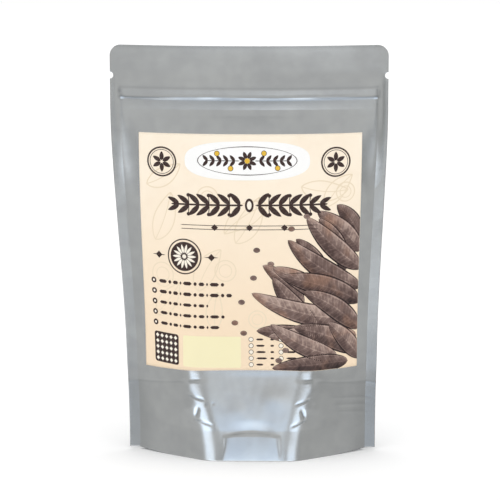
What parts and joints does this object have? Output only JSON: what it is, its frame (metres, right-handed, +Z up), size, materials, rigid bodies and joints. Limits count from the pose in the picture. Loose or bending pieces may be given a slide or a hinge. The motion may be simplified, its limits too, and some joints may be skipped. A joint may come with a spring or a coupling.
{
  "type": "sealed stand-up zip pouch of dried carob pods",
  "caption": "Sealed stand-up pouch of foil laminate with a bottom gusset, inner zip, tear notches and a front label, filled with dried carob pods.",
  "frame": {"origin": "on the floor, under the centre of the pouch's box", "axes": "+Z up, from the bottom edge to the top edge; the label faces -Y; +X is to the right of someone who looks at the label"},
  "size_m": [0.1601, 0.0572, 0.2389],
  "materials": {
    "foil_laminate": "satin, aluminium foil under a clear plastic face",
    "label_paper": "smooth coated paper, printed in cream and brown with a plain pattern and no lettering",
    "zip_plastic": "translucent white polyethylene",
    "pod_skin": "dry, dark brown, satin and finely wrinkled"
  },
  "bodies": {
    "root": {"front_panel": "foil_laminate", "back_panel": "foil_laminate", "bottom_gusset": "foil_laminate", "front_label": "label_paper", "zip_groove_track": "zip_plastic", "zip_ridge_track": "zip_plastic", "carob_pod_01": "pod_skin", "carob_pod_02": "pod_skin", "carob_pod_03": "pod_skin", "carob_pod_04": "pod_skin", "carob_pod_05": "pod_skin", "carob_pod_06": "pod_skin", "carob_pod_07": "pod_skin", "carob_pod_08": "pod_skin", "carob_pod_09": "pod_skin", "carob_pod_10": "pod_skin"}
  },
  "joints": []
}
